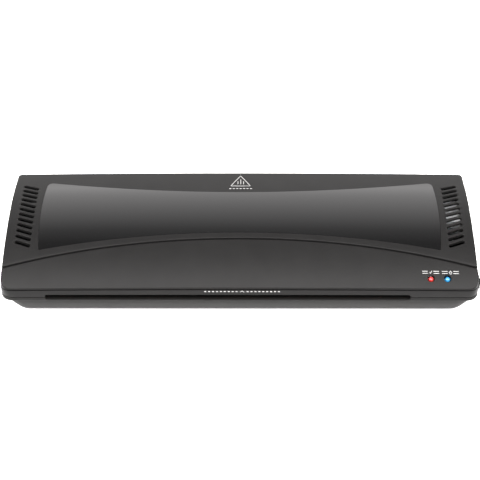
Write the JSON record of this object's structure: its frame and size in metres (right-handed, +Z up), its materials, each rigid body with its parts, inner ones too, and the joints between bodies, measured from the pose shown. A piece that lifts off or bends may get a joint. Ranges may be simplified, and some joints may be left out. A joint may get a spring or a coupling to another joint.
{
  "type": "pouch laminator",
  "caption": "Wide low desktop pouch laminator with an arched casing, a long front feed slot, side vents, lamps and a geared hot roller train inside.",
  "frame": {"origin": "on the table under the middle of the casing, at the centre of the bounding box's underside", "axes": "+X to the user's right along the feed slot, +Y from the feed slot to the rear, +Z up"},
  "size_m": [0.4405, 0.1386, 0.075],
  "materials": {
    "charcoal_case": "fine textured charcoal",
    "grey_base": "fine textured grey",
    "gloss_insert": "piano gloss black",
    "red_lens": "tinted lens, lit",
    "blue_lens": "tinted lens, lit",
    "circuit_board": "solder mask",
    "switch_plastic": "satin black",
    "inlet_plastic": "satin black",
    "foot_rubber": "matte black",
    "screw_steel": "zinc plated",
    "plate_steel": "galvanised sheet",
    "shaft_steel": "ground",
    "spring_steel": "drawn wire",
    "roller_rubber": "silicone rubber",
    "acetal": "natural acetal",
    "heater_aluminium": "extruded",
    "mica": "mica laminate",
    "phenolic": "moulded phenolic",
    "lead_insulation": "PVC",
    "fuse_metal": "plated"
  },
  "bodies": {
    "casing": {"bezel_ring": "charcoal_case", "case_screw_front_left": "screw_steel", "case_screw_front_right": "screw_steel", "case_screw_rear_left": "screw_steel", "case_screw_rear_right": "screw_steel", "control_board": "circuit_board", "exit_guide": "charcoal_case", "feed_guide": "charcoal_case", "foot_front_left": "foot_rubber", "foot_front_right": "foot_rubber", "foot_rear_left": "foot_rubber", "foot_rear_right": "foot_rubber", "frame_tie_rod": "plate_steel", "front_bush_left": "acetal", "front_bush_right": "acetal", "front_panel": "charcoal_case", "front_spring_left": "spring_steel", "front_spring_right": "spring_steel", "gloss_panel": "gloss_insert", "led_board": "circuit_board", "left_side_plate": "plate_steel", "lower_heating_element": "mica", "lower_heating_plate": "heater_aluminium", "lower_housing": "grey_base", "mains_inlet": "inlet_plastic", "mains_lead": "lead_insulation", "motor_body": "plate_steel", "motor_bracket": "plate_steel", "power_led": "blue_lens", "ready_led": "red_lens", "rear_bush_left": "acetal", "rear_bush_right": "acetal", "rear_spring_left": "spring_steel", "rear_spring_right": "spring_steel", "right_side_plate": "plate_steel", "switch_housing": "switch_plastic", "thermal_fuse": "fuse_metal", "thermostat": "phenolic", "top_cover": "charcoal_case", "upper_heating_element": "mica", "upper_heating_plate": "heater_aluminium"},
    "front_lower_roller_set": {"front_lower_roller": "roller_rubber", "front_lower_shaft": "shaft_steel", "front_lower_gear": "acetal"},
    "front_upper_roller_set": {"front_upper_roller": "roller_rubber", "front_upper_shaft": "shaft_steel", "front_upper_gear": "acetal"},
    "rear_lower_roller_set": {"rear_lower_roller": "roller_rubber", "rear_lower_shaft": "shaft_steel", "rear_lower_gear": "acetal"},
    "rear_upper_roller_set": {"rear_upper_roller": "roller_rubber", "rear_upper_shaft": "shaft_steel", "rear_upper_gear": "acetal"},
    "front_carriage": {"front_bearing_block_left": "acetal", "front_bearing_block_right": "acetal"},
    "rear_carriage": {"rear_bearing_block_left": "acetal", "rear_bearing_block_right": "acetal"},
    "idler": {"idler_gear": "acetal"},
    "pinion": {"motor_pinion": "shaft_steel"},
    "rocker": {"switch_rocker": "switch_plastic"}
  },
  "joints": [
    {"name": "front_lower_spin", "type": "hinge", "parent": "casing", "child": "front_lower_roller_set", "pos_m": [-0.0105, -0.03, 0.0185], "axis": [1, 0, 0], "continuous": true},
    {"name": "front_lift", "type": "slide", "parent": "casing", "child": "front_carriage", "axis": [0, 0, 1], "range_m": [0, 0.001], "stiffness_N_per_m": 3000, "springref_m": -0.004, "deforming": ["front_spring_left", "front_spring_right"]},
    {"name": "front_upper_spin", "type": "hinge", "parent": "front_carriage", "child": "front_upper_roller_set", "pos_m": [-0.0105, -0.03, 0.0385], "axis": [1, 0, 0], "continuous": true},
    {"name": "rear_lower_spin", "type": "hinge", "parent": "casing", "child": "rear_lower_roller_set", "pos_m": [-0.0105, 0.02, 0.0185], "axis": [1, 0, 0], "continuous": true},
    {"name": "rear_lift", "type": "slide", "parent": "casing", "child": "rear_carriage", "axis": [0, 0, 1], "range_m": [0, 0.001], "stiffness_N_per_m": 3000, "springref_m": -0.004, "deforming": ["rear_spring_left", "rear_spring_right"]},
    {"name": "rear_upper_spin", "type": "hinge", "parent": "rear_carriage", "child": "rear_upper_roller_set", "pos_m": [-0.0105, 0.02, 0.0385], "axis": [1, 0, 0], "continuous": true},
    {"name": "idler_spin", "type": "hinge", "parent": "casing", "child": "idler", "pos_m": [0.18075, -0.005, 0.03508], "axis": [1, 0, 0], "continuous": true},
    {"name": "pinion_spin", "type": "hinge", "parent": "casing", "child": "pinion", "pos_m": [0.18075, 0.0186, 0.04599], "axis": [1, 0, 0], "continuous": true},
    {"name": "power_rocker", "type": "hinge", "parent": "casing", "child": "rocker", "pos_m": [0.2146, -0.0474, 0.0293], "axis": [0, 0, -1], "range_deg": [0, 20]}
  ],
  "couplings": [
    {"joint": "front_upper_spin", "follows": "front_lower_spin", "ratio": -1},
    {"joint": "rear_lower_spin", "follows": "front_lower_spin", "ratio": 1},
    {"joint": "rear_upper_spin", "follows": "front_lower_spin", "ratio": -1},
    {"joint": "idler_spin", "follows": "front_lower_spin", "ratio": -0.5},
    {"joint": "pinion_spin", "follows": "front_lower_spin", "ratio": 1.6667}
  ]
}
